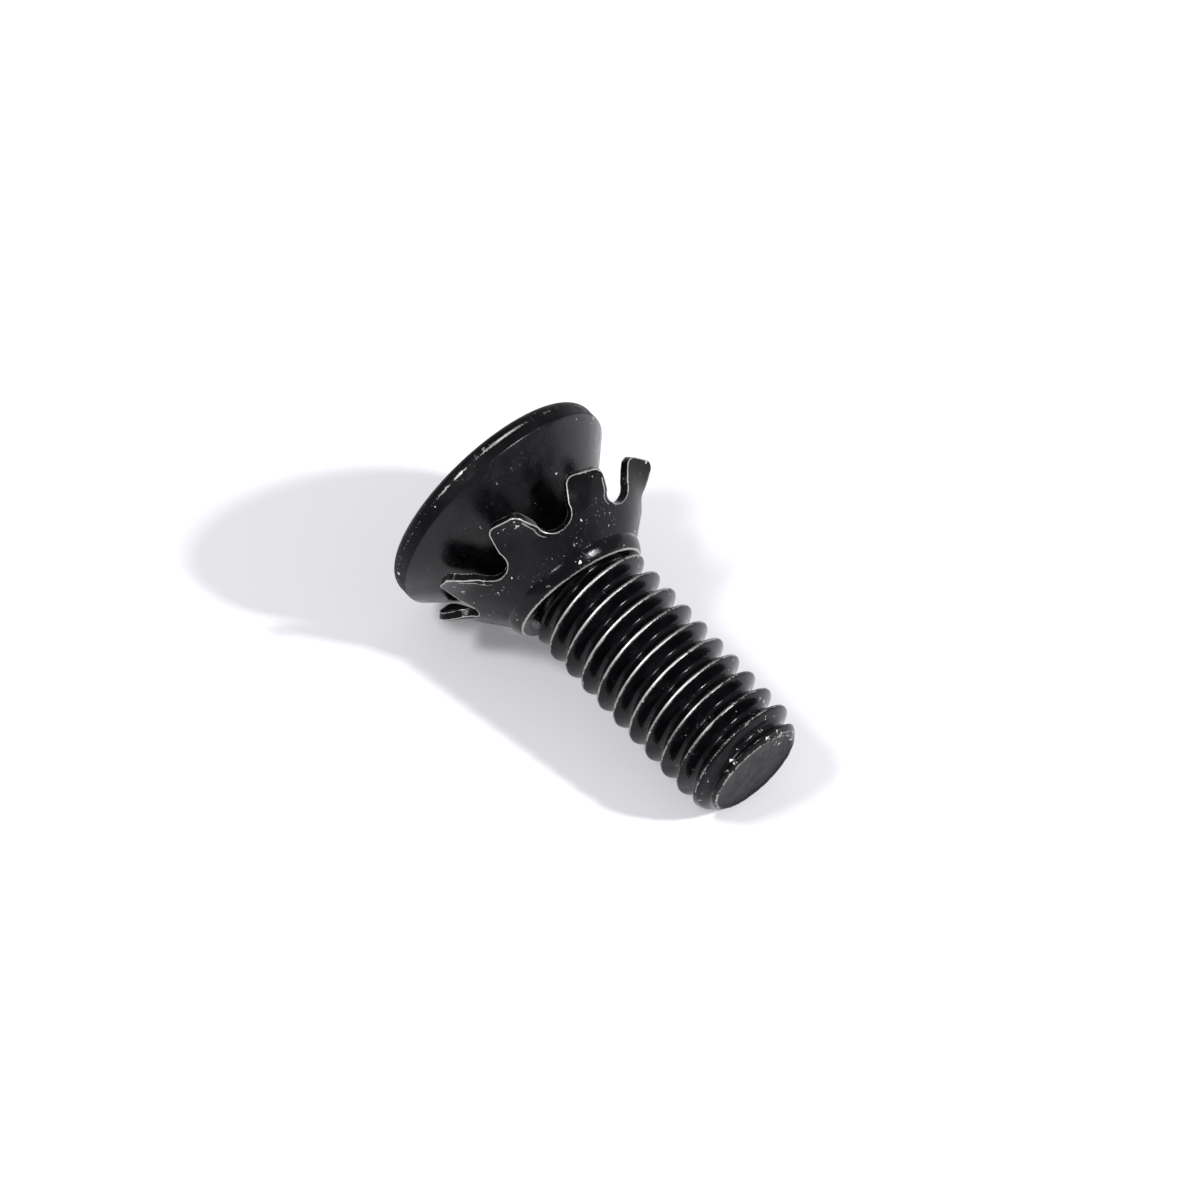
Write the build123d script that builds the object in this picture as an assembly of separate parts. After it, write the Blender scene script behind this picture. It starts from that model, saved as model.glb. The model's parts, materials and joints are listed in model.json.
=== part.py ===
"""Countersunk machine screw, M4 x 12, with its captive countersunk toothed lock washer.

The screw is made along its own axis, w, which runs from the head's flat face (w = 0) to the end
of the thread. The washer is made about its own axis and hung on the screw's neck. Both are then
laid down as one, as the screw comes to rest: on the head's rim and on the last threads.

Frame of the finished part: millimetres, +Z up, +X towards the thread's end, and the origin under
the middle of the part, on the surface that it lies on.
"""
from build123d import *

import os
from math import asin, atan, ceil, cos, degrees, hypot, pi, radians, sin, tan

os.makedirs("parts", exist_ok=True)

# ---------------------------------------------------------------- screw, driving dimensions
SCREW_LENGTH = 11.8         # over all, head face to thread end
HEAD_D = 7.5                # across the rim
HEAD_ANGLE = 90.0           # included angle of the countersink
HEAD_EDGE = 0.7             # height of the rim, face to cone
HEAD_EDGE_ROUND = 0.32      # rolled-over corner between the face and the rim
RIM_ROUND = 0.08            # rounded corner between the rim and the cone
NECK_RELIEF = 0.03          # depth of the neck below the thread's root
NECK_LENGTH = 1.32          # from the cone to the thread's run-out
NECK_FILLET = 0.25          # under the head
THREAD_D = 3.86             # major diameter of the rolled thread
THREAD_DEPTH = 0.35         # crest to root
THREAD_PITCH = 0.7
THREAD_ANGLE = 60.0         # between the flanks
CREST_FLAT = 0.09           # width of the flat on the crests
RUN_OUT_LENGTH = 0.22       # length over which the thread rises from the neck
POINT_LENGTH = 0.95         # rounded lead at the end of the thread
POINT_FACE_D = 2.92         # flat face at the very end
CREST_PHASE = 0.253         # from the run-out's start to a crest, on the side underneath
LEAD_BULGE = 0.955          # radius half-way along the lead, as a share of the thread's
GROOVE_OVER = 0.04          # how far the groove's cutter stands out past the crests

# ---------------------------------------------------------------- drive recess, cross form
RECESS_SPAN = 4.4           # across two opposite wings at the head's face
RECESS_DEPTH = 2.2          # to the flat of the wings' floor
RECESS_WING = 1.0           # width of a wing at the face
RECESS_WING_FLOOR = 0.72    # width of a wing at the floor
RECESS_FLANK = 26.5         # slope of a wing's outer end from the axis, in degrees
RECESS_CORE_D = 2.3         # round core between the wings at the face
RECESS_CORE_FLOOR_D = 1.5   # round core at the floor
RECESS_TIP_ANGLE = 120.0    # included angle of the drilled-looking tip of the core

# ---------------------------------------------------------------- lock washer, driving dimensions
SHEET = 0.26                # thickness of the spring steel
COLLAR_PLAY = 0.193         # radial play of the collar's free edge on the neck
COLLAR_HEIGHT = 0.46
COLLAR_SLOPE = 24.0         # from the washer's axis
CONE_SLOPE = 43.4           # from the washer's axis
TEETH = 8
NOTCH_START = 0.88          # along the cone, from the crease to the bottom of a notch
NOTCH_ROUND = 0.54          # radius of the notch's bottom
TOOTH_END = 2.18            # along the cone, from the crease to the tooth's end
TOOTH_END_W = 1.07          # width of a tooth near its end
TOOTH_CORNER = 0.24         # rounded corners of the tooth's end
TOOTH_TWIST = 22.0          # set of the tooth about its own middle line
TOOTH_LAP = 0.08            # the cone runs on this far into each tooth, which closes the joint
WASHER_TILT = 8.7           # the loose washer hangs askew on the neck
WASHER_LEAN = -39.6         # direction of that lean about the screw's axis, from underneath
WASHER_DROP = 0.02          # how far the loose washer lies below the screw's axis
WASHER_ASIDE = -0.05        # and beside it
TOOTH_PHASE = 34.5          # angle of the first tooth about the axis, from underneath

# ---------------------------------------------------------------- worked out from the above
head_r = HEAD_D / 2
thread_r = THREAD_D / 2
root_r = thread_r - THREAD_DEPTH
neck_r = root_r - NECK_RELIEF
head_slope = HEAD_ANGLE / 2
head_height = HEAD_EDGE + (head_r - neck_r) / tan(radians(head_slope))
rim_reach = RIM_ROUND * tan(radians(head_slope / 2))    # of the rim's rounded corner
run_out_start = head_height + NECK_LENGTH
crest_w = run_out_start + CREST_PHASE


def screw_blank():
    """The turned form under the thread: head, neck, run-out, shank and rounded lead."""
    lead_start = SCREW_LENGTH - POINT_LENGTH
    lead_mid = (thread_r * LEAD_BULGE, lead_start + POINT_LENGTH / 2)
    face_edge = (head_r - HEAD_EDGE_ROUND, 0)
    rim_top = (head_r, HEAD_EDGE_ROUND)
    rim_foot = (head_r, HEAD_EDGE - rim_reach)
    cone_top = (
        head_r - rim_reach * sin(radians(head_slope)),
        HEAD_EDGE + rim_reach * cos(radians(head_slope)),
    )
    neck_top = (neck_r, head_height)
    run_out = (neck_r, run_out_start)
    shank_top = (thread_r, run_out_start + RUN_OUT_LENGTH)
    shank_end = (thread_r, lead_start)
    point = (POINT_FACE_D / 2, SCREW_LENGTH)
    with BuildPart() as blank:
        with BuildSketch(Plane.XZ):
            with BuildLine():
                Line((0, 0), face_edge)
                RadiusArc(face_edge, rim_top, -HEAD_EDGE_ROUND)
                Line(rim_top, rim_foot)
                RadiusArc(rim_foot, cone_top, -RIM_ROUND)
                Polyline(cone_top, neck_top, run_out, shank_top, shank_end)
                ThreePointArc(shank_end, lead_mid, point)
                Polyline(point, (0, SCREW_LENGTH), (0, 0))
            make_face()
        revolve(axis=Axis.Z)
        under_head = blank.edges().filter_by(GeomType.CIRCLE).sort_by(
            lambda edge: abs(edge.center().Z - head_height) + abs(edge.radius - neck_r)
        )[0]
        fillet(under_head, NECK_FILLET)
    return blank.part


def groove_turns():
    """The groove between the crests, as one cutter for each turn of a right-hand helix."""
    flank = tan(radians(THREAD_ANGLE / 2))
    mouth_r = thread_r + GROOVE_OVER
    root_half = (THREAD_PITCH - CREST_FLAT) / 2 - (thread_r - root_r) * flank
    mouth_half = (THREAD_PITCH - CREST_FLAT) / 2 + GROOVE_OVER * flank
    start = crest_w - THREAD_PITCH * 1.5
    path = Helix(THREAD_PITCH, THREAD_PITCH, root_r).locate(Location((0, 0, start)))
    section = Polyline(
        (root_r, 0, start - root_half),
        (mouth_r, 0, start - mouth_half),
        (mouth_r, 0, start + mouth_half),
        (root_r, 0, start + root_half),
        close=True,
    )
    turn = sweep(make_face(section), path=path, is_frenet=True)
    turns = ceil((SCREW_LENGTH - start) / THREAD_PITCH + 0.5)
    return [turn.moved(Location((0, 0, number * THREAD_PITCH))) for number in range(turns)]


def drive_recess():
    """Cross recess: two tapered blades at right angles, and a tapered core with a conical tip."""
    blade_floor = RECESS_SPAN - 2 * RECESS_DEPTH * tan(radians(RECESS_FLANK))
    tip = RECESS_CORE_FLOOR_D / 2 / tan(radians(RECESS_TIP_ANGLE / 2))
    face = Plane.XY
    floor = Plane.XY.offset(RECESS_DEPTH)
    blade = loft(
        [face * Rectangle(RECESS_SPAN, RECESS_WING), floor * Rectangle(blade_floor, RECESS_WING_FLOOR)]
    )
    core = loft([face * Circle(RECESS_CORE_D / 2), floor * Circle(RECESS_CORE_FLOOR_D / 2)])
    drill = Pos(0, 0, RECESS_DEPTH + tip / 2) * Cone(RECESS_CORE_FLOOR_D / 2, 0, tip)
    return blade + blade.rotate(Axis.Z, 90) + core + drill


def cone_point(along, out=0.0):
    """(radius, height) on the washer's cone: along it from the crease, and out from its outside.

    Height runs up from the collar's free edge towards the head.
    """
    slope = radians(CONE_SLOPE)
    radius = crease_r + along * sin(slope) + out * cos(slope)
    height = COLLAR_HEIGHT + along * cos(slope) - out * sin(slope)
    return radius, height


def washer_ring():
    """The collar and the lower cone, turned as one bent sheet, up to where the teeth are set."""
    collar_wall = SHEET / cos(radians(COLLAR_SLOPE))
    inner_crease = cone_point(crease_inset, -SHEET)
    with BuildPart() as ring:
        with BuildSketch(Plane.XZ):
            Polygon(
                (collar_r, 0),
                (crease_r, COLLAR_HEIGHT),
                cone_point(tooth_root + TOOTH_LAP),
                cone_point(tooth_root + TOOTH_LAP, -SHEET),
                inner_crease,
                (collar_r - collar_wall, 0),
                align=None,
            )
        revolve(axis=Axis.Z)
    return ring.part


def notch(angle):
    """Cutter for one U notch: a round-bottomed slot through the cone, square to its surface."""
    radius, height = cone_point(NOTCH_START + NOTCH_ROUND, -SHEET / 2)
    slope = radians(CONE_SLOPE)
    across = Plane(
        origin=(radius, 0, height),
        x_dir=(0, 1, 0),
        z_dir=(cos(slope), 0, -sin(slope)),
    )
    outline = Circle(NOTCH_ROUND) + Pos(0, NOTCH_ROUND) * Rectangle(2 * NOTCH_ROUND, 2 * NOTCH_ROUND)
    cutter = extrude(across * outline, amount=SHEET, both=True)
    return cutter.rotate(Axis.Z, angle)


def tooth_section(share):
    """Cross-section of a tooth, from its root (share 0, curved as the cone) to its end (1, flat)."""
    slope = radians(CONE_SLOPE)
    radius, height = cone_point(tooth_root + share * (TOOTH_END - tooth_root), -SHEET / 2)
    across = Plane(origin=(radius, 0, height), x_dir=(0, 1, 0), z_dir=(sin(slope), 0, cos(slope)))
    half = (root_width + share * (TOOTH_END_W - root_width)) / 2
    sag = (1 - share) * half**2 * cos(slope) / (2 * radius)
    corners = [
        Vector(-half, sag - SHEET / 2),
        Vector(half, sag - SHEET / 2),
        Vector(half, sag + SHEET / 2),
        Vector(-half, sag + SHEET / 2),
    ]
    if share < 1:
        outside = ThreePointArc(corners[0], Vector(0, -SHEET / 2), corners[1])
        inside = ThreePointArc(corners[2], Vector(0, SHEET / 2), corners[3])
    else:
        outside = Line(corners[0], corners[1])
        inside = Line(corners[2], corners[3])
    outline = outside + Line(corners[1], corners[2]) + inside + Line(corners[3], corners[0])
    return across * Rot(0, 0, -share * TOOTH_TWIST) * make_face(outline)


def tooth(angle):
    """One tooth: lofted with its twist, and rounded at the corners of its free end."""
    blade = loft([tooth_section(share) for share in (0.0, 0.5, 1.0)])
    radius, height = cone_point(TOOTH_END, -SHEET / 2)
    end_middle = Vector(radius, 0, height)
    nearest = blade.edges().sort_by(lambda edge: (edge.center() - end_middle).length)
    corners = [edge for edge in nearest[:4] if edge.length < 2 * SHEET]
    return fillet(corners, TOOTH_CORNER).rotate(Axis.Z, angle)


def lock_washer():
    """The washer about its own axis, its collar's free edge at z = 0 and its teeth above."""
    ring = washer_ring()
    for number in range(TEETH):
        ring -= notch((number + 0.5) * tooth_pitch)
    for number in range(TEETH):
        ring += tooth(number * tooth_pitch)
    return ring


collar_r = neck_r + COLLAR_PLAY + SHEET / cos(radians(COLLAR_SLOPE))
crease_r = collar_r + COLLAR_HEIGHT * tan(radians(COLLAR_SLOPE))
crease_inset = SHEET * tan(radians((CONE_SLOPE - COLLAR_SLOPE) / 2))
tooth_root = NOTCH_START + NOTCH_ROUND
tooth_pitch = 360 / TEETH
root_width = 2 * (cone_point(tooth_root)[0] * tan(pi / TEETH) - NOTCH_ROUND / cos(pi / TEETH))

# ---------------------------------------------------------------- laid down as it rests
# The ground touches the rounded corner of the rim and the last full crest underneath.
lead_w = SCREW_LENGTH - POINT_LENGTH
rest_crest = crest_w + THREAD_PITCH * ((lead_w - crest_w) // THREAD_PITCH)
rim_to_crest = (rest_crest - HEAD_EDGE + rim_reach, head_r - RIM_ROUND - thread_r)
rest_lean = degrees(atan(rim_to_crest[1] / rim_to_crest[0]) + asin(RIM_ROUND / hypot(*rim_to_crest)))

screw = screw_blank().cut(*groove_turns()) - drive_recess()
washer_place = (
    Location((WASHER_DROP, WASHER_ASIDE, run_out_start))
    * Location((0, 0, 0), (0, 0, 1), WASHER_LEAN)
    * Location((0, 0, 0), (0, 1, 0), WASHER_TILT)
    * Location((0, 0, 0), (0, 0, 1), -WASHER_LEAN)
    * Location((0, 0, 0), (1, 0, 0), 180)
    * Location((0, 0, 0), (0, 0, 1), -TOOTH_PHASE)
)
washer = lock_washer().moved(washer_place)

lay = Location((0, 0, 0), (0, 1, 0), 90 + rest_lean)
laid = Compound([screw.moved(lay), washer.moved(lay)]).bounding_box()
settle = Location((-laid.center().X, -laid.center().Y, -laid.min.Z)) * lay

for name, piece in {"countersunk_screw": screw, "lock_washer": washer}.items():
    export_step(piece.moved(settle), f"parts/{name}.step")
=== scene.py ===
"""Looks of an M4 x 12 countersunk machine screw with its captive toothed lock washer.

Everything is in metres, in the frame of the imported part: +Z up, +X towards the thread's end, and
the screw lying on its head's rim and its last threads.
"""
import json

import bmesh
import bpy
import numpy as np
from mathutils import Matrix, Vector


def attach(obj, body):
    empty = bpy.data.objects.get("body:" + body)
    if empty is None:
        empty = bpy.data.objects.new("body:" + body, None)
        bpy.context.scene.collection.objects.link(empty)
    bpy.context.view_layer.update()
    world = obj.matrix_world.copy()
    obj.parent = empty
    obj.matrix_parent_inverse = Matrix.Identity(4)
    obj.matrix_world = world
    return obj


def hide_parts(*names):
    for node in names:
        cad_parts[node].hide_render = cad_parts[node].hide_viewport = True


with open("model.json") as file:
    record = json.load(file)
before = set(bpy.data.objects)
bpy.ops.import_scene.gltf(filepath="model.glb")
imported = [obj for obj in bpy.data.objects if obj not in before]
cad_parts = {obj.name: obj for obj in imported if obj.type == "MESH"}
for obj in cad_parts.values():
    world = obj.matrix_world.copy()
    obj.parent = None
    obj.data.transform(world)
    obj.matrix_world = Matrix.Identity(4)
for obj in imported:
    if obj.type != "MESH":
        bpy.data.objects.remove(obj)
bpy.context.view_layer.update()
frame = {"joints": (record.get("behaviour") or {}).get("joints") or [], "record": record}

# ------------------------------------------------------------------------------ countersunk screw
# A machine screw cold-headed from steel wire, with its thread rolled on, and then blackened and
# oiled. One piece: the head with its 90 degree cone and cross recess, a relieved neck that keeps
# the washer captive, and a coarse metric thread with a sheared end.

MM = 0.001
SCREW_LENGTH = 11.8 * MM
HEAD_R = 3.75 * MM
HEAD_EDGE = 0.7 * MM            # height of the rim
HEAD_ROUND = 0.32 * MM          # rolled-over corner between the face and the rim
HEAD_SLANT = np.radians(45.0)   # of the cone, to the axis
RIM_ROUND = 0.08 * MM           # round where the rim meets the cone
RIM_WORN_AT = 0.35 * MM         # where the rim is rubbed, from the head's face
NECK_R = 1.55 * MM
NECK_FILLET = 0.25 * MM
THREAD_R = 1.93 * MM
PITCH = 0.7 * MM
FLANK = np.radians(30.0)        # slope of the thread's flanks, from square to the axis
CREST_FLAT = 0.07 * MM          # width of the crests
CREST_SOFT = 0.022 * MM         # rounding of their corners
ROOT_ROUND = 0.15 * MM          # radius of the round root
CREST_AT = 4.473 * MM           # a crest's distance from the head's face, on the underside
RUN_OUT = (4.22 * MM, 4.44 * MM)            # the short cone from the neck to the thread
NICK_DEPTH = 0.012 * MM         # of the nicks in the crests
LEAD = 0.95 * MM                # rounded lead at the thread's end
LEAD_CURVES = ((0.72, 2.1), (0.28, 6))      # its curve is a sum of powers: share and power of each
END_R = 1.46 * MM
LIP_REACH = 0.16 * MM           # length of the ragged lip at the end
LIP_WAVES = 0.018 * MM          # how deep its waves are, and its burrs
LIP_BURRS = 0.034 * MM
TURN_STEPS = 240                # columns round the screw
PITCH_STEPS = 22                # rows in one pitch

mounts = {mount["name"]: mount for mount in frame["record"]["mounts"]}
head_centre = np.array(mounts["drive_recess"]["pos_m"])
screw_axis = np.array(mounts["thread_end"]["axis"])
screw_axis /= np.linalg.norm(screw_axis)
screw_under = np.array((0.0, 0.0, -1.0)) + screw_axis * screw_axis[2]
screw_under /= np.linalg.norm(screw_under)
screw_side = np.cross(screw_axis, screw_under)


def on_screw(radius, turn, along):
    """Points from cylinder coordinates: out from the axis, round it from underneath, along it."""
    angle = 2 * np.pi * turn
    out = np.cos(angle)[..., None] * screw_under + np.sin(angle)[..., None] * screw_side
    return head_centre + radius[..., None] * out + along[..., None] * screw_axis


def ease(value, low, high):
    """Smooth step: 0 below low, 1 above high, 3t^2 - 2t^3 between."""
    t = np.clip((value - low) / (high - low), 0, 1)
    return t * t * (3 - 2 * t)


def soft_max(a, b, width):
    """The larger of a and b, with the corner between them rounded over that width."""
    return 0.5 * (a + b + np.sqrt((a - b) ** 2 + width**2))


def ripple(turn, along, seed, waves=5):
    """Smooth unevenness between about -1 and 1: a sum of sines of random pitch and phase."""
    draw = np.random.default_rng(seed)
    total = np.zeros(np.broadcast(turn, along).shape)
    for _ in range(waves):
        round_it = draw.integers(2, 23)
        along_it = draw.uniform(0.3, 2.2) / MM
        total = total + np.sin(2 * np.pi * round_it * turn + along_it * along + draw.uniform(0, 7))
    return total / waves**0.5 / 1.5


def blank_radius(along):
    """Radius of the turned form that bounds the thread: neck, run-out, shank, rounded lead."""
    rise = (along - RUN_OUT[0]) / (RUN_OUT[1] - RUN_OUT[0])
    shank = NECK_R + np.clip(rise, 0, 1) * (THREAD_R - NECK_R)
    down = np.clip((along - SCREW_LENGTH + LEAD) / LEAD, 0, 1)
    return shank - (THREAD_R - END_R) * sum(share * down**power for share, power in LEAD_CURVES)


def ragged_lip(turn, along):
    """How far the sheared edge at the thread's end stands in: waves either way, and burrs that are
    the size of a quicker ripple, all growing towards the end."""
    near = ease(along, SCREW_LENGTH - LIP_REACH, SCREW_LENGTH)
    waves = ripple(turn, 0 * turn, seed=5, waves=6)
    burrs = np.abs(ripple(3 * turn, 0 * turn, seed=6, waves=6))
    return near * (LIP_WAVES * waves + LIP_BURRS * burrs)


def off_crest(turn, along):
    """Distance, along the axis, from the nearest crest's middle, which is a right-hand helix."""
    cycle = (along - CREST_AT) / PITCH - turn
    return np.abs(cycle - np.round(cycle)) * PITCH


def thread_radius(turn, along):
    """Radius of the rolled thread: crest, straight flanks and the arc of the root, which touches
    both, within the turned form."""
    from_crest = off_crest(turn, along)
    down_flank = (from_crest - CREST_FLAT / 2) / np.tan(FLANK)
    depth = soft_max(down_flank, 0.0, CREST_SOFT)
    vee = (PITCH - CREST_FLAT) / 2 / np.tan(FLANK)
    from_root = np.minimum(PITCH / 2 - from_crest, ROOT_ROUND * np.cos(FLANK))
    depth = np.minimum(depth, vee - 2 * ROOT_ROUND + np.sqrt(ROOT_ROUND**2 - from_root**2))
    # The crests are nicked where a ripple peaks.
    peaks = ease(ripple(turn, along, seed=11, waves=9), 0.75, 1.5)
    nicks = NICK_DEPTH * peaks * (from_crest < CREST_FLAT)
    form = blank_radius(along) - ragged_lip(turn, along)
    return np.minimum(THREAD_R - np.maximum(depth, 0.0) - nicks, form)


def grid_faces(rows, columns):
    """Quads of a grid of points, row after row, facing the side that rows x columns point to."""
    first = (np.arange(rows - 1)[:, None] * columns + np.arange(columns - 1)).ravel()
    return np.stack([first, first + 1, first + columns + 1, first + columns], axis=1)


def mesh_piece(name, grids, merge=1e-7, from_edge=()):
    """One mesh object from grids of points, (rows, columns, 3) arrays, joined where they touch.
    Each point's distance from the nearest cut edge, where given, is kept as an attribute."""
    points, faces, start = [], [], 0
    for grid in grids:
        points.append(grid.reshape(-1, 3))
        faces.append(grid_faces(*grid.shape[:2]) + start)
        start += len(points[-1])
    mesh = bpy.data.meshes.new(name)
    mesh.from_pydata(np.concatenate(points).tolist(), [], np.concatenate(faces).tolist())
    if from_edge:
        distances = np.concatenate([part.ravel() for part in from_edge])
        layer = mesh.attributes.new("from_edge", "FLOAT", "POINT")
        layer.data.foreach_set("value", distances.astype(np.float32))
    work = bmesh.new()
    work.from_mesh(mesh)
    bmesh.ops.remove_doubles(work, verts=work.verts, dist=merge)
    bmesh.ops.dissolve_degenerate(work, edges=work.edges, dist=merge)
    bmesh.ops.recalc_face_normals(work, faces=work.faces)
    work.to_mesh(mesh)
    work.free()
    mesh.shade_smooth()
    piece = bpy.data.objects.new(name, mesh)
    bpy.context.scene.collection.objects.link(piece)
    return piece


turns = np.linspace(0, 1, TURN_STEPS + 1)


def thread_grid():
    """Grid whose rows follow the thread's helix, one pitch along for each turn. A sine brings them
    closest together at the crests and the roots."""
    first = np.floor((RUN_OUT[0] - CREST_AT) / PITCH) - 1
    last = np.ceil((SCREW_LENGTH - CREST_AT) / PITCH)
    step = np.arange(int(round((last - first) * PITCH_STEPS)) + 1) / PITCH_STEPS + first
    step = step - 0.5 * np.sin(4 * np.pi * step) / (4 * np.pi)
    along = CREST_AT + (step[:, None] + turns) * PITCH
    along = np.clip(along, RUN_OUT[0], SCREW_LENGTH)
    turn = np.broadcast_to(turns, along.shape)
    return on_screw(thread_radius(turn, along), turn, along)


def ring_grid(profile):
    """Grid turned about the screw's axis from a profile of (radius, distance along) points."""
    radius, along = np.array(profile).T[:, :, None] + 0 * turns
    turn = turns + 0 * radius
    return on_screw(radius - ragged_lip(turn, along) * (radius > 0.9 * END_R), turn, along)


def arc(centre, radius, start, end, steps):
    """Points of an arc in the (radius, along) plane, angles in degrees."""
    angle = np.radians(np.linspace(start, end, steps))
    return list(zip(centre[0] + radius * np.cos(angle), centre[1] + radius * np.sin(angle)))


def line(start, end, steps):
    """Evenly spaced points of a straight line, without its end."""
    share = np.arange(steps) / steps
    return [(start[0] + (end[0] - start[0]) * t, start[1] + (end[1] - start[1]) * t) for t in share]


def head_profile():
    """From the middle of the head's face, over the rim, down the cone and along the neck. Each
    round starts and ends its radius times the tangent of half its turn from the corner."""
    corner = RIM_ROUND * np.tan(HEAD_SLANT / 2)
    rim_centre = (HEAD_R - RIM_ROUND, HEAD_EDGE - corner)
    cone_foot = HEAD_EDGE + (HEAD_R - NECK_R) / np.tan(HEAD_SLANT)
    reach = NECK_FILLET * np.tan(HEAD_SLANT / 2)
    cone_start = (HEAD_R - corner * np.sin(HEAD_SLANT), HEAD_EDGE + corner * np.cos(HEAD_SLANT))
    cone_end = (NECK_R + reach * np.sin(HEAD_SLANT), cone_foot - reach * np.cos(HEAD_SLANT))
    slant = np.degrees(HEAD_SLANT)
    return (
        line((0, 0), (HEAD_R - HEAD_ROUND, 0), 8)
        + arc((HEAD_R - HEAD_ROUND, HEAD_ROUND), HEAD_ROUND, -90, 0, 13)
        + line((HEAD_R, HEAD_ROUND), (HEAD_R, HEAD_EDGE - corner), 12)[1:]
        + arc(rim_centre, RIM_ROUND, 0, slant, 4)
        + line(cone_start, cone_end, 26)[1:]
        + arc((NECK_R + NECK_FILLET, cone_foot + reach), NECK_FILLET, 180 + slant, 180, 6)
        + line((NECK_R, cone_foot + reach), (NECK_R, RUN_OUT[0]), 5)[1:]
        + [(NECK_R, RUN_OUT[0])]
    )


def end_profile():
    """The sheared end: a thin lip, and inside it the face, sunk a little. Each point is so far in
    from the lip, and so far down from it."""
    dish = ((0, 0), (0.05, 0.004), (0.10, 0.03), (0.22, 0.045), (0.76, 0.055), (END_R / MM, 0.06))
    return [(END_R - inwards * MM, SCREW_LENGTH - down * MM) for inwards, down in dish]


turned_grids = [ring_grid(head_profile()), thread_grid(), ring_grid(end_profile())]
screw = mesh_piece("screw_turned_and_rolled", turned_grids)

# The cross recess: two tapered blades and a round core with a pointed tip, cut from the head.

RECESS_SPAN = 4.4 * MM
RECESS_DEPTH = 2.2 * MM
RECESS_WING = (1.0 * MM, 0.72 * MM)         # width of a wing at the face and at its floor
RECESS_CORE = (1.15 * MM, 0.75 * MM)        # radius of the core at the face and at the floor
RECESS_TAPER = np.radians(26.5)             # slope of a wing's outer end
RECESS_TIP = np.radians(60.0)               # half angle of the tip


def recess_outline(share, steps=6):
    """Angles and radii of the recess at a share of its depth: the farther of the core and the two
    blades, where a blade reaches the nearer of its end and its side. Between two of its twenty
    corners there are always as many steps, so that the corners line up from row to row."""
    half_span = RECESS_SPAN / 2 - share * RECESS_DEPTH * np.tan(RECESS_TAPER)
    half_wing = (RECESS_WING[0] + share * (RECESS_WING[1] - RECESS_WING[0])) / 2
    core = RECESS_CORE[0] + share * (RECESS_CORE[1] - RECESS_CORE[0])
    quarter = np.pi / 2
    blade, neck = np.arctan2(half_wing, half_span), np.arcsin(half_wing / core)
    corners = np.array([0, blade, neck, quarter - neck, quarter - blade])
    corners = np.append(corners + np.arange(4)[:, None] * quarter, 4 * quarter)
    angle = np.interp(np.arange(20 * steps + 1) / steps, np.arange(21), corners)
    reach = []
    for turned in (0, quarter):
        end = half_span / np.maximum(np.abs(np.cos(angle + turned)), 1e-6)
        side = half_wing / np.maximum(np.abs(np.sin(angle + turned)), 1e-6)
        reach.append(np.minimum(end, side))
    return angle, np.maximum(np.maximum(reach[0], reach[1]), core)


def recess_cutter():
    """The recess as a closed solid: its lid, walls from above the face to the floor, the floor of
    the wings, and the tip."""
    above = -0.2
    tip = RECESS_CORE[1] / np.tan(RECESS_TIP)
    floor_angle, floor_radius = recess_outline(1.0)
    rows = [(floor_angle, 0 * floor_angle, above * RECESS_DEPTH)]
    for share in (above, 0.0, 0.5, 1.0):
        rows.append((*recess_outline(share), share * RECESS_DEPTH))
    rows.append((floor_angle, np.minimum(floor_radius, RECESS_CORE[1]), RECESS_DEPTH))
    rows.append((floor_angle, 0 * floor_angle, RECESS_DEPTH + tip))
    angle, radius, along = (np.array(part) for part in zip(*rows))
    along = along[:, None] + 0 * angle
    punch = mesh_piece("recess_cutter", [on_screw(radius, angle / (2 * np.pi), along)])
    punch.data.shade_flat()
    return punch


def cut_from(piece, cutter):
    """Cuts one object from another. The cutter's faces are flat, so all their edges stay sharp."""
    cut = piece.modifiers.new("cut", "BOOLEAN")
    cut.operation = "DIFFERENCE"
    cut.solver = "EXACT"
    cut.object = cutter
    evaluated = piece.evaluated_get(bpy.context.evaluated_depsgraph_get())
    finished = bpy.data.meshes.new_from_object(evaluated)
    piece.modifiers.clear()
    piece.data = finished
    bpy.data.objects.remove(cutter)
    work = bmesh.new()
    work.from_mesh(finished)
    for edge in work.edges:
        edge.smooth = all(face.smooth for face in edge.link_faces)
    work.to_mesh(finished)
    work.free()


cut_from(screw, recess_cutter())


def vertices(piece):
    """The piece's vertex positions, as one array."""
    points = np.zeros(len(piece.data.vertices) * 3)
    piece.data.vertices.foreach_get("co", points)
    return points.reshape(-1, 3)


def attribute(piece, name, values):
    """Stores one number per vertex under that name, for the material to read."""
    layer = piece.data.attributes.new(name, "FLOAT", "POINT")
    layer.data.foreach_set("value", np.asarray(values, np.float32))


def round_patch(turn, middle, spread):
    """1 at the middle, as a share of a turn, falling off on both sides as a bell curve."""
    away = (turn - middle + 0.5) % 1 - 0.5
    return np.exp(-((away / spread) ** 2))


# Where the lamps' highlights are painted onto the rubbed lines as brighter steel, as shares of a
# turn from underneath: one on the crests, two on the rim.
CREST_HIGHLIGHT_AT = -0.416
RIM_HIGHLIGHTS_AT = (-0.49, -0.39)


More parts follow.
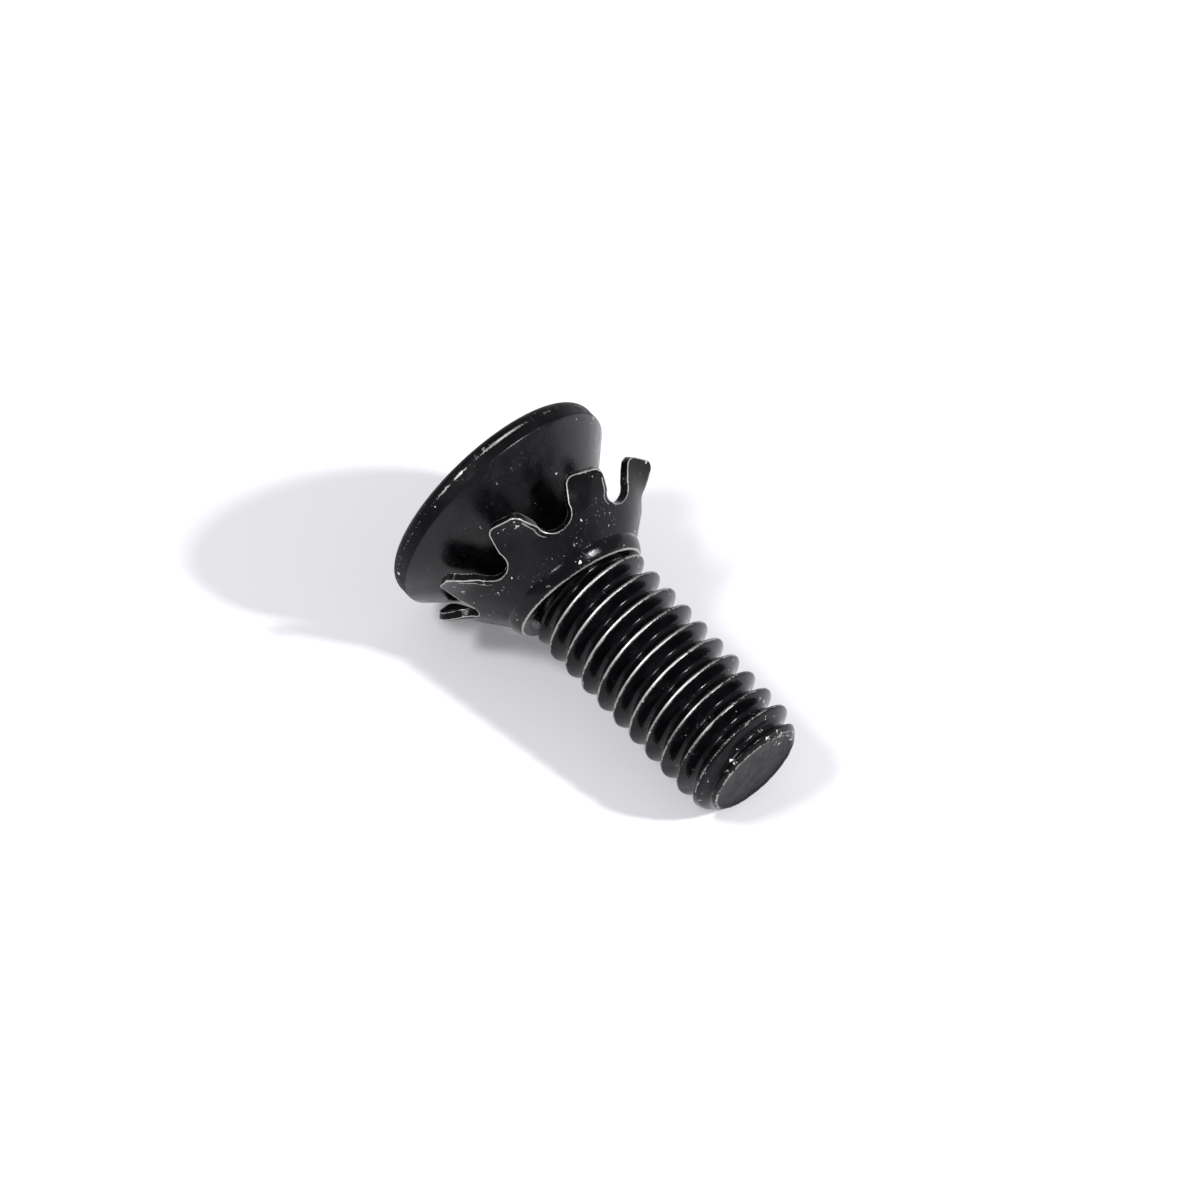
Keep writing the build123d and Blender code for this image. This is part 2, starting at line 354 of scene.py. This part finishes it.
def screw_wear(points):
    """How the black is rubbed and how it shines, as four numbers at each point. Edge is the bare
    line along the thread's crests, the head's rim and the lip at the end; on the crests and the rim
    it is raised in patches round set turns, which paints the lamps' highlights there as brighter
    steel. Knocks are thickest beside the lip and on the rim, a little more so at the rim's painted
    highlight. Smooth is 1 on the rolled thread and negative where it is rough. Gloss is how
    strongly the oiled skin mirrors: most on the cone, least on the rim. Each falls off by a smooth
    step of the distance from its place."""
    offset = points - head_centre
    along = offset @ screw_axis
    x, y = offset @ screw_under, offset @ screw_side
    radius, turn = np.hypot(x, y), np.arctan2(y, x) / (2 * np.pi)
    threaded = ease(along, *RUN_OUT)
    to_end = ease(along, SCREW_LENGTH - 3.0 * MM, SCREW_LENGTH - 1.2 * MM)

    crest = threaded * (1 - ease(THREAD_R - radius, 0.004 * MM, 0.03 * MM))
    # The crest line is brighter in a patch round one turn, a painted highlight of the fill lamp,
    # and fainter towards the thread's end.
    crest *= (0.72 + 0.45 * round_patch(turn, CREST_HIGHLIGHT_AT, 0.075)) * (1 - 0.3 * to_end)
    # The last crests are cut down by the rounded lead, and are rubbed along their middles.
    lead = to_end * (1 - ease(blank_radius(along) - radius, 0.01 * MM, 0.03 * MM))
    lead *= 0.62 * (1 - ease(off_crest(turn, along), 0.008 * MM, 0.045 * MM))
    from_rim = np.hypot(radius - HEAD_R, along - RIM_WORN_AT)
    # The rim's line is brighter in two patches near its top: painted highlights of the lamps on the
    # rim.
    rim_highlight = round_patch(turn, RIM_HIGHLIGHTS_AT[0], 0.03)
    rim = 0.5 + 0.7 * rim_highlight + 0.2 * round_patch(turn, RIM_HIGHLIGHTS_AT[1], 0.04)
    rim *= 1 - ease(from_rim, 0.01 * MM, 0.07 * MM)
    from_lip = np.hypot(radius - END_R, along - SCREW_LENGTH)
    upper_side = 0.5 - 0.5 * np.cos(2 * np.pi * (turn - 0.1))
    lip = (1 - ease(from_lip, 0.008 * MM, 0.08 * MM)) * (0.25 + 0.55 * upper_side)

    beside_lip = (1 - ease(from_lip, 0.05 * MM, 0.45 * MM)) * (0.3 + 1.5 * upper_side)
    # Knocks beside the rim are a little thicker at its painted highlight.
    beside_rim = (1 - ease(from_rim, 0.03 * MM, 0.25 * MM)) * (0.8 + 0.2 * rim_highlight)
    on_rim = ease(radius, HEAD_R - 0.3 * MM, HEAD_R - 0.02 * MM) * (along < HEAD_EDGE)
    on_end = (along > SCREW_LENGTH - 0.065 * MM) & (radius < END_R - 0.03 * MM)
    knocks = np.maximum(np.maximum(0.4 * to_end, beside_lip), beside_rim) * (1 - 0.8 * on_end)
    return {
        "edge": np.maximum(np.maximum(crest, lead), np.maximum(rim, lip)),
        "knocks": knocks,
        "smooth": threaded - 3.0 * on_rim - 4.0 * on_end,
        "gloss": 0.66 - 0.28 * threaded - 0.46 * on_rim + 0.12 * on_end,
    }


for name, values in screw_wear(vertices(screw)).items():
    attribute(screw, name, values)


def srgb(code):
    """Linear colour, with alpha, from an sRGB hex code."""
    value = np.array([int(code[i:i + 2], 16) for i in (1, 3, 5)]) / 255
    linear = np.where(value <= 0.04045, value / 12.92, ((value + 0.055) / 1.055) ** 2.4)
    return (*linear.tolist(), 1.0)


def add_node(tree, kind, inputs=None, **settings):
    """Adds a shader node. An input's value is a number, a colour, or the socket that feeds it."""
    node = tree.nodes.new(kind)
    for key, value in settings.items():
        setattr(node, key, value)
    for key, value in (inputs or {}).items():
        if isinstance(value, bpy.types.NodeSocket):
            tree.links.new(value, node.inputs[key])
        else:
            node.inputs[key].default_value = value
    return node


def black_oxide(name, dark, light, roughness, speckle):
    """Black oxide: steel blackened in a hot bath and oiled. A thin dark skin with a slight grain,
    glossy on the rolled and stamped faces, on which bright steel shows along the rubbed edges, in
    small knocks and in fine scratches; where the edge number is highest the steel is brighter
    still, as painted highlights of the lamps. Speckle is how thickly the knocks and scratches are
    strewn away from the edges."""
    material = bpy.data.materials.new(name)
    material.use_nodes = True
    tree = material.node_tree
    tree.nodes.clear()
    dull_steel, bright_steel_and_highlight = "#a09e9b", "#eceae6"
    place = add_node(tree, "ShaderNodeTexCoord").outputs["Object"]
    to_mm = {"Vector": place, "Scale": (1 / MM, 1 / MM, 1 / MM)}
    in_mm = add_node(tree, "ShaderNodeMapping", to_mm).outputs[0]

    def noise(size_mm, detail, rough=0.55, vector=in_mm, output="Fac"):
        """Noise with lumps of about that size in mm."""
        inputs = {"Vector": vector, "Scale": 1 / size_mm, "Detail": detail, "Roughness": rough}
        return add_node(tree, "ShaderNodeTexNoise", inputs).outputs[output]

    def ramp(value, low, high, bottom=0.0, top=1.0):
        """Smooth step from bottom, where the value is low, to top, where it is high."""
        inputs = {
            "Value": value, "From Min": low, "From Max": high, "To Min": bottom, "To Max": top
        }
        node = add_node(tree, "ShaderNodeMapRange", inputs, interpolation_type="SMOOTHSTEP")
        return node.outputs[0]

    def combine(operation, first, second, kind="ShaderNodeMath"):
        """One operation on two numbers, or on two vectors where the kind says so."""
        return add_node(tree, kind, {0: first, 1: second}, operation=operation).outputs[0]

    def blend(share, first, second):
        """The first colour at share 0 and the second at share 1."""
        inputs = {"Factor": share, "A": srgb(first), "B": srgb(second)}
        return add_node(tree, "ShaderNodeMix", inputs, data_type="RGBA").outputs["Result"]

    def stored(attribute_name):
        """A number kept at each vertex of the mesh."""
        return add_node(tree, "ShaderNodeAttribute", attribute_name=attribute_name).outputs["Fac"]

    # The rubbed line along an edge: ragged at its sides, and broken where the coarser noise is low.
    waver = combine("ADD", noise(0.05, 2), noise(0.42, 2))      # about 1 on average
    rubbed = combine("ADD", stored("edge"), combine("SUBTRACT", waver, 1.0))
    line_wear = ramp(rubbed, 0.5, 0.68)
    # Knocks: a small bare spot, bent out of round, in some of the cells of a random mesh. Each cell
    # has three random numbers: they say whether there is a spot, its size, and how bare it is.
    uneven = noise(0.09, 2, 0.5, output="Color")
    bend = combine("MULTIPLY", uneven, (0.28, 0.28, 0.28), "ShaderNodeVectorMath")
    bent = combine("ADD", in_mm, bend, "ShaderNodeVectorMath")
    cells = add_node(tree, "ShaderNodeTexVoronoi", {"Vector": bent, "Scale": 1 / 0.2})
    draw = add_node(tree, "ShaderNodeSeparateColor", {"Color": cells.outputs["Color"]}).outputs
    patches = combine("MULTIPLY", ramp(noise(0.9, 2), 0.46, 0.72), speckle)
    chance = combine("ADD", combine("MULTIPLY", stored("knocks"), 0.55), patches)
    present = combine("LESS_THAN", draw[0], chance)
    spot_size = combine("ADD", combine("MULTIPLY", combine("POWER", draw[1], 2.0), 0.27), 0.06)
    spots = ramp(combine("SUBTRACT", spot_size, cells.outputs["Distance"]), 0.0, 0.06)
    bareness = ramp(draw[2], 0.0, 0.7, 0.45, 1.0)
    spots = combine("MULTIPLY", combine("MULTIPLY", spots, present), bareness)
    # Scratches: noise drawn out ninefold, of which only the peaks show.
    drawn_out = {"Vector": in_mm, "Rotation": (0.5, 0.9, 0.4), "Scale": (1, 9, 9)}
    along_them = add_node(tree, "ShaderNodeMapping", drawn_out).outputs[0]
    scratches = combine("MULTIPLY", ramp(noise(0.5, 1, 0.4, along_them), 0.70, 0.74), patches)
    bare = combine("MAXIMUM", combine("MAXIMUM", line_wear, spots), scratches)

    # The oiled skin: mottled and finely grained, and smoother where it was rolled.
    skin_rough = ramp(noise(0.3, 4), 0.3, 0.75, roughness - 0.04, roughness + 0.1)
    grain = combine("ADD", combine("MULTIPLY", noise(0.03, 2), 0.45), noise(0.16, 3))
    bump = {"Strength": 0.4, "Distance": 0.01 * MM, "Height": grain}
    skin = {
        "Base Color": blend(ramp(noise(0.45, 4), 0.35, 0.7), dark, light),
        "Roughness": combine("SUBTRACT", skin_rough, combine("MULTIPLY", stored("smooth"), 0.08)),
        "IOR": 1.31,
        "Specular IOR Level": stored("gloss"),
        "Normal": add_node(tree, "ShaderNodeBump", bump).outputs[0],
    }
    # The bare steel: brightest in the spots and where the edge number is highest, which on the
    # screw is where the lamps' highlights are painted on the crests and the rim.
    polish_and_painted_highlight = combine("MAXIMUM", spots, ramp(stored("edge"), 0.76, 1.1))
    steel = {
        "Base Color": blend(polish_and_painted_highlight, dull_steel, bright_steel_and_highlight),
        "Metallic": 1.0,
        "Roughness": ramp(noise(0.05, 2), 0.35, 0.65, 0.34, 0.58),
    }
    skin_shader = add_node(tree, "ShaderNodeBsdfPrincipled", skin).outputs[0]
    steel_shader = add_node(tree, "ShaderNodeBsdfPrincipled", steel).outputs[0]
    shaders = {0: bare, 1: skin_shader, 2: steel_shader}
    mix = add_node(tree, "ShaderNodeMixShader", shaders).outputs[0]
    add_node(tree, "ShaderNodeOutputMaterial", {"Surface": mix})
    return material


rolled_black = black_oxide("black_oxide_on_rolled_steel", "#070709", "#101013", 0.22, 0.42)
screw.data.materials.clear()
screw.data.materials.append(rolled_black)
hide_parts("countersunk_screw")
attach(screw, "screw")

# ------------------------------------------------------------------------------------ lock washer
# A countersunk toothed lock washer, stamped and formed from thin spring steel and blackened. Its
# collar was put over the screw's neck before the thread was rolled, so it hangs there loose and
# askew. Its eight teeth are set at an angle, each the same way round.

SHEET = 0.26 * MM
DRAWN_DOWN = 0.04 * MM          # how far the punch drew down one flank of each tooth
CREASE_AT = (0.2 * MM, 0.05 * MM)           # its crease, from the flank: at the root and the tip
BROKEN_EDGE = 0.03 * MM         # bevel of the cut edges
COLLAR_R = 2.028 * MM           # outside, at the collar's free edge
COLLAR_HEIGHT = 0.46 * MM
COLLAR_SLOPE = np.radians(24.0)
COLLAR_BULGE = 0.06 * MM        # how far the collar's outside is crowned
CONE_SLOPE = np.radians(43.4)
FOLD_R = 0.07 * MM              # bend between the collar and the cone
FOLD_BLEND = 3                  # length of the blend of slopes, for that of a plain round
TEETH = 8
NOTCH_START = 0.88 * MM         # along the cone, from the fold to a notch's bottom
NOTCH_R = 0.54 * MM
TOOTH_END = 2.18 * MM           # along the cone, from the fold to a tooth's tip
TOOTH_END_W = 1.07 * MM
TOOTH_CORNER = 0.24 * MM
TOOTH_SET = np.radians(22.0)    # how far each tooth's tip is turned about its own middle
FIRST_TOOTH = np.radians(34.5)  # from underneath, round the screw's axis
COLLAR_LENGTH = COLLAR_HEIGHT / np.cos(COLLAR_SLOPE)
SECTOR_STEPS = 40               # columns across one eighth of the washer

spin = frame["joints"][0]
washer_centre = np.array(spin["pos_m"])
washer_down = -np.array(spin["axis"])
washer_down /= np.linalg.norm(washer_down)
askew = Vector(screw_axis).rotation_difference(Vector(washer_down)).to_matrix()
washer_under = np.array(askew @ Vector(screw_under))
washer_side = np.array(askew @ Vector(screw_side))


def washer_profile(along):
    """Outside of the bent sheet as (radius, height over the collar's free edge, slope), by the
    distance along it, 0 at the fold, negative on the collar. The fold is a blend of slopes."""
    path = np.linspace(-COLLAR_LENGTH, TOOTH_END * 1.02, 1600)
    half_bend = FOLD_R * (CONE_SLOPE - COLLAR_SLOPE) / 2 * FOLD_BLEND
    slope = COLLAR_SLOPE + (CONE_SLOPE - COLLAR_SLOPE) * ease(path, -half_bend, half_bend)
    step = path[1] - path[0]
    radius = COLLAR_R + np.concatenate([[0], np.cumsum(np.sin(slope[1:]) * step)])
    height = np.concatenate([[0], np.cumsum(np.cos(slope[1:]) * step)])
    return [np.interp(along, path, value) for value in (radius, height, slope)]


def tooth_half_width(along):
    """Half the width of a sector, measured along the arc: half the pitch, less the notch's round,
    then the tooth's taper and its rounded corners."""
    radius = washer_profile(along)[0] - SHEET / 2 * np.cos(CONE_SLOPE)
    into = np.clip(along - NOTCH_START, 0, NOTCH_R)
    half = radius * np.pi / TEETH - np.sqrt(NOTCH_R**2 - (NOTCH_R - into) ** 2)
    root = NOTCH_START + NOTCH_R
    root_half = np.interp(root, along, radius) * np.pi / TEETH - NOTCH_R
    taper = np.clip((along - root) / (TOOTH_END - root), 0, 1)
    half = np.where(along > root, root_half + taper * (TOOTH_END_W / 2 - root_half), half)
    past = np.clip(along - (TOOTH_END - TOOTH_CORNER), 0, TOOTH_CORNER)
    return half - (TOOTH_CORNER - np.sqrt(TOOTH_CORNER**2 - past**2))


def sector_rows():
    """Distances along the sheet at which a sector has its rows of points: closest together at the
    fold, in the notch's round and in the tooth's rounded corners."""
    quarter = np.linspace(0, np.pi / 2, 12)
    return np.concatenate([
        np.linspace(-COLLAR_LENGTH, -0.06 * MM, 18),
        np.linspace(-0.04 * MM, 0.05 * MM, 8),
        np.linspace(0.1 * MM, NOTCH_START - 0.06 * MM, 10),
        NOTCH_START + NOTCH_R * (1 - np.cos(quarter)),
        np.linspace(NOTCH_START + NOTCH_R + 0.04 * MM, TOOTH_END - TOOTH_CORNER, 7)[:-1],
        TOOTH_END - TOOTH_CORNER + TOOTH_CORNER * np.sin(quarter),
    ])


def middle_of_sheet(rows, across):
    """The middle of a sector's sheet, as (radius, sideways, height) points. It follows the cone's
    round at the root, goes over to flat at the tooth's end, and is turned there about the tooth's
    own middle."""
    radius, height, slope = (value[:, None] for value in washer_profile(rows))
    radius = radius - SHEET / 2 * np.cos(slope)
    height = height + SHEET / 2 * np.sin(slope)
    flat = ease(rows, NOTCH_START + 0.35 * NOTCH_R, TOOTH_END)[:, None]
    sideways = radius * np.sin(across / radius)
    inwards = (1 - flat) * radius * (1 - np.cos(across / radius))
    # Sideways and along the slope after the turn, and out of the slope's plane.
    turned = -TOOTH_SET * flat
    u = sideways * np.cos(turned) - inwards * np.cos(slope) * np.sin(turned)
    v = sideways * np.sin(turned) + inwards * np.cos(slope) * np.cos(turned)
    back = -inwards * np.sin(slope)
    return np.stack([
        radius - v * np.cos(slope) + back * np.sin(slope),
        u,
        height + v * np.sin(slope) + back * np.cos(slope),
    ], axis=-1)


def crease_from_flank(rows):
    """How far the punch's crease is from the tooth's flank: less and less towards the tip."""
    return np.interp(rows, (NOTCH_START, TOOTH_END), CREASE_AT)[:, None]


def across_sheet(start, end, axis):
    """A cut edge's wall between two rows of points, with rows close beside both of them."""
    steps = (0.0, 0.2, 0.5, 0.8, 1.0)
    return np.stack([start + (end - start) * share for share in steps], axis=axis)


def sector_grids(rows, across, half):
    """One eighth of the washer: its outer and inner faces, set out from the middle of the sheet
    along its own normal by half the thickness, and the walls of its cut edges."""
    middle = middle_of_sheet(rows, across)
    along_rows = np.gradient(middle, axis=0) / np.gradient(rows)[:, None, None]
    normal = np.cross(np.gradient(middle, axis=1), along_rows)
    normal /= np.linalg.norm(normal, axis=-1, keepdims=True)
    outer, inner = middle + normal * SHEET / 2, middle - normal * SHEET / 2
    # The punch drew the sheet down beside one flank of each tooth, from a crease that runs from the
    # tooth's corner and leaves the flank towards the notch's bottom.
    drawn = np.clip(1 - (half[:, None] - across) / crease_from_flank(rows), 0, 1)
    drawn = drawn * ease(rows, NOTCH_START, NOTCH_START + 0.2 * MM)[:, None]
    outer -= normal * DRAWN_DOWN * drawn[..., None] ** 1.5
    # The collar's outside is crowned, and its free edge is cut square to the washer's axis.
    on_collar = np.clip(-rows / COLLAR_LENGTH, 0, 1)[:, None, None]
    outer += normal * COLLAR_BULGE * (1 - np.abs(2 * on_collar - 1) ** 3)
    inner -= along_rows * SHEET * np.tan(COLLAR_SLOPE) * on_collar
    root = np.searchsorted(rows, NOTCH_START)
    return [
        outer,
        inner[:, ::-1],
        across_sheet(outer[root:, 0], inner[root:, 0], 1),
        across_sheet(inner[root:, -1], outer[root:, -1], 1),
        across_sheet(outer[-1], inner[-1], 0),
        across_sheet(inner[0], outer[0], 0),
    ]


def edge_distances(rows, across, half):
    """For each grid of a sector, how far its points are from the nearest cut edge: on the faces
    across the flat pattern, and on the walls through the sheet."""
    columns = across.shape[1]
    root = np.searchsorted(rows, NOTCH_START)
    tip = half[-1] * np.abs(np.linspace(-1, 1, columns))
    outline = np.concatenate([
        np.stack([half[root:], rows[root:]], axis=1),
        np.stack([tip, np.full(columns, TOOTH_END)], axis=1),
    ])
    flat_places = np.stack([np.abs(across), rows[:, None] + 0 * across], axis=-1)
    from_cut = np.linalg.norm(flat_places[:, :, None] - outline, axis=-1).min(axis=-1)
    # The crease is rubbed too, a little less than an edge, and the collar's edge a little wider.
    on_tooth = (rows > NOTCH_START + 0.08 * MM) & (rows < TOOTH_END - TOOTH_CORNER)
    from_crease = np.abs(half[:, None] - across - crease_from_flank(rows)) + 0.012 * MM
    from_crease = np.where(on_tooth[:, None], from_crease, SHEET)
    from_collar_edge = 0.6 * (rows + COLLAR_LENGTH)[:, None]
    on_outside = np.minimum(np.minimum(from_cut, from_crease), from_collar_edge)
    through = across_sheet(np.zeros(len(rows) - root), np.full(len(rows) - root, SHEET), 1)
    through = np.minimum(through, SHEET - through)
    on_tip = np.broadcast_to(through[:1].T, (through.shape[1], columns))
    on_collar_end = across_sheet(np.full(columns, SHEET), np.zeros(columns), 0)
    return [on_outside, from_cut[:, ::-1], through, through, on_tip, on_collar_end]


def on_washer(grid, number):
    """Places a sector's grid of (radius, sideways, height) points: turned about the washer's axis
    by so many eighths, and askew on the screw."""
    angle = FIRST_TOOTH - number * 2 * np.pi / TEETH
    x = grid[..., 0] * np.cos(angle) + grid[..., 1] * np.sin(angle)
    y = grid[..., 0] * np.sin(angle) - grid[..., 1] * np.cos(angle)
    across = x[..., None] * washer_under + y[..., None] * washer_side
    return washer_centre + across - grid[..., 2][..., None] * washer_down


rows = sector_rows()
half = tooth_half_width(rows)
share = np.linspace(-1, 1, SECTOR_STEPS + 1)
across = half[:, None] * share * (1.3 - 0.3 * share**2)         # closest together at the flanks
grids = sector_grids(rows, across, half)
washer = mesh_piece(
    "washer_stamped_and_set",
    [on_washer(grid, number) for number in range(TEETH) for grid in grids],
    merge=2e-6,
    from_edge=edge_distances(rows, across, half) * TEETH,
)
break_edges = washer.modifiers.new("broken_edges", "BEVEL")
break_edges.width = BROKEN_EDGE
break_edges.segments = 2
break_edges.limit_method = "ANGLE"
break_edges.angle_limit = np.radians(50)


def washer_wear(points, from_edge):
    """As screw_wear, from the distances to the nearest cut edge: rubbed along the edges, and
    smoother on the collar."""
    rubbed = 1 - ease(from_edge, 0.012 * MM, 0.06 * MM)
    height = -((points - washer_centre) @ washer_down)
    return {
        "edge": 0.93 * rubbed,
        "knocks": 0.3 + 0.4 * rubbed,
        "smooth": 0.6 - 0.6 * ease(height, COLLAR_HEIGHT, 1.3 * COLLAR_HEIGHT),
        "gloss": np.full_like(rubbed, 0.4),
    }


from_edge = np.zeros(len(washer.data.vertices))
washer.data.attributes["from_edge"].data.foreach_get("value", from_edge)
for name, values in washer_wear(vertices(washer), from_edge).items():
    attribute(washer, name, values)
spring_black = black_oxide("black_oxide_on_spring_steel", "#060709", "#0d0e11", 0.2, 0.75)
washer.data.materials.append(spring_black)
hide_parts("lock_washer")
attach(washer, "washer")

# ------------------------------------------------------------------------- floor, light and camera
# White paper under two soft lamps, the stronger one from the right and the weaker from the left.
# The camera looks down on the screw from beside the thread's end, from far away.

CAMERA_AZIMUTH = np.radians(48.55)
CAMERA_ELEVATION = np.radians(50.84)
CAMERA_DISTANCE = 0.36
CAMERA_LENS = 374.2
FRAMING = (-0.602 * MM, 0.911 * MM)     # the aim's shift from the screw's middle, right and up
LAMP_DISTANCE = 0.30
FLOOR_HALF = 0.7
PAPER_LIFT = 0.15               # how much paler the paper looks than its own colour
ROOM_LIGHT = 0.45


def look_from(azimuth, elevation):
    """Unit vectors of a view: rightwards, upwards, and back towards the viewer."""
    right = np.array((np.cos(azimuth), np.sin(azimuth), 0.0))
    back = np.array((
        np.sin(azimuth) * np.cos(elevation),
        -np.cos(azimuth) * np.cos(elevation),
        np.sin(elevation),
    ))
    return right, np.cross(back, right), back


def aimed(name, data, azimuth, elevation, distance, target):
    """A camera or lamp at that bearing and height from the target, turned to face it."""
    right, up, back = look_from(azimuth, elevation)
    turned = Matrix((right, up, back)).transposed().to_4x4()
    thing = bpy.data.objects.new(name, data)
    thing.matrix_world = Matrix.Translation(Vector(target + back * distance)) @ turned
    bpy.context.scene.collection.objects.link(thing)
    return thing


screw_middle = head_centre + screw_axis * SCREW_LENGTH / 2
view_right, view_up, _ = look_from(CAMERA_AZIMUTH, CAMERA_ELEVATION)
camera_data = bpy.data.cameras.new("camera")
camera_data.lens = CAMERA_LENS
camera_data.clip_start = 0.01
aim = screw_middle + FRAMING[0] * view_right + FRAMING[1] * view_up
camera = aimed("camera", camera_data, CAMERA_AZIMUTH, CAMERA_ELEVATION, CAMERA_DISTANCE, aim)
bpy.context.scene.camera = camera


def lamp(name, azimuth, elevation, size, watts, tint):
    """A soft square lamp aimed at the screw. Its bearing and height are in degrees."""
    data = bpy.data.lights.new(name, "AREA")
    data.shape = "RECTANGLE"
    data.size = data.size_y = size
    data.energy = watts
    data.color = srgb(tint)[:3]
    aimed(name, data, np.radians(azimuth), np.radians(elevation), LAMP_DISTANCE, screw_middle)


lamp("key_lamp", azimuth=119.5, elevation=40, size=0.022, watts=0.72, tint="#fdfcff")
lamp("fill_lamp", azimuth=-17, elevation=58, size=0.06, watts=0.42, tint="#fbfbff")

floor_mesh = bpy.data.meshes.new("floor")
corners = [(x * FLOOR_HALF, y * FLOOR_HALF, 0) for x, y in ((-1, -1), (1, -1), (1, 1), (-1, 1))]
floor_mesh.from_pydata(corners, [], [(0, 1, 2, 3)])
floor = bpy.data.objects.new("floor", floor_mesh)
bpy.context.scene.collection.objects.link(floor)


def white_paper():
    """Matt white paper. What the camera sees of it, straight or in a reflection, is lifted a little
    by a glow that lights nothing."""
    material = bpy.data.materials.new("white_paper")
    material.use_nodes = True
    tree = material.node_tree
    tree.nodes.clear()
    rays = add_node(tree, "ShaderNodeLightPath").outputs
    seen = rays["Is Camera Ray"]
    for ray in ("Is Glossy Ray", "Is Transmission Ray"):
        either = {0: seen, 1: rays[ray]}
        seen = add_node(tree, "ShaderNodeMath", either, operation="MAXIMUM").outputs[0]
    lift = {0: seen, 1: PAPER_LIFT}
    lift = add_node(tree, "ShaderNodeMath", lift, operation="MULTIPLY").outputs[0]
    glow = {"Color": srgb("#fdfcff"), "Strength": lift}
    glow = add_node(tree, "ShaderNodeEmission", glow).outputs[0]
    diffuse = add_node(tree, "ShaderNodeBsdfDiffuse", {"Color": srgb("#e9e8ea")}).outputs[0]
    both = add_node(tree, "ShaderNodeAddShader", {0: diffuse, 1: glow}).outputs[0]
    add_node(tree, "ShaderNodeOutputMaterial", {"Surface": both})
    return material


floor_mesh.materials.append(white_paper())

world = bpy.data.worlds.new("studio")
bpy.context.scene.world = world
world.use_nodes = True
tree = world.node_tree
tree.nodes.clear()
room = add_node(tree, "ShaderNodeBackground", {"Color": srgb("#f6f6fa"), "Strength": ROOM_LIGHT})
add_node(tree, "ShaderNodeOutputWorld", {"Surface": room.outputs[0]})
bpy.context.scene.view_settings.view_transform = "Standard"
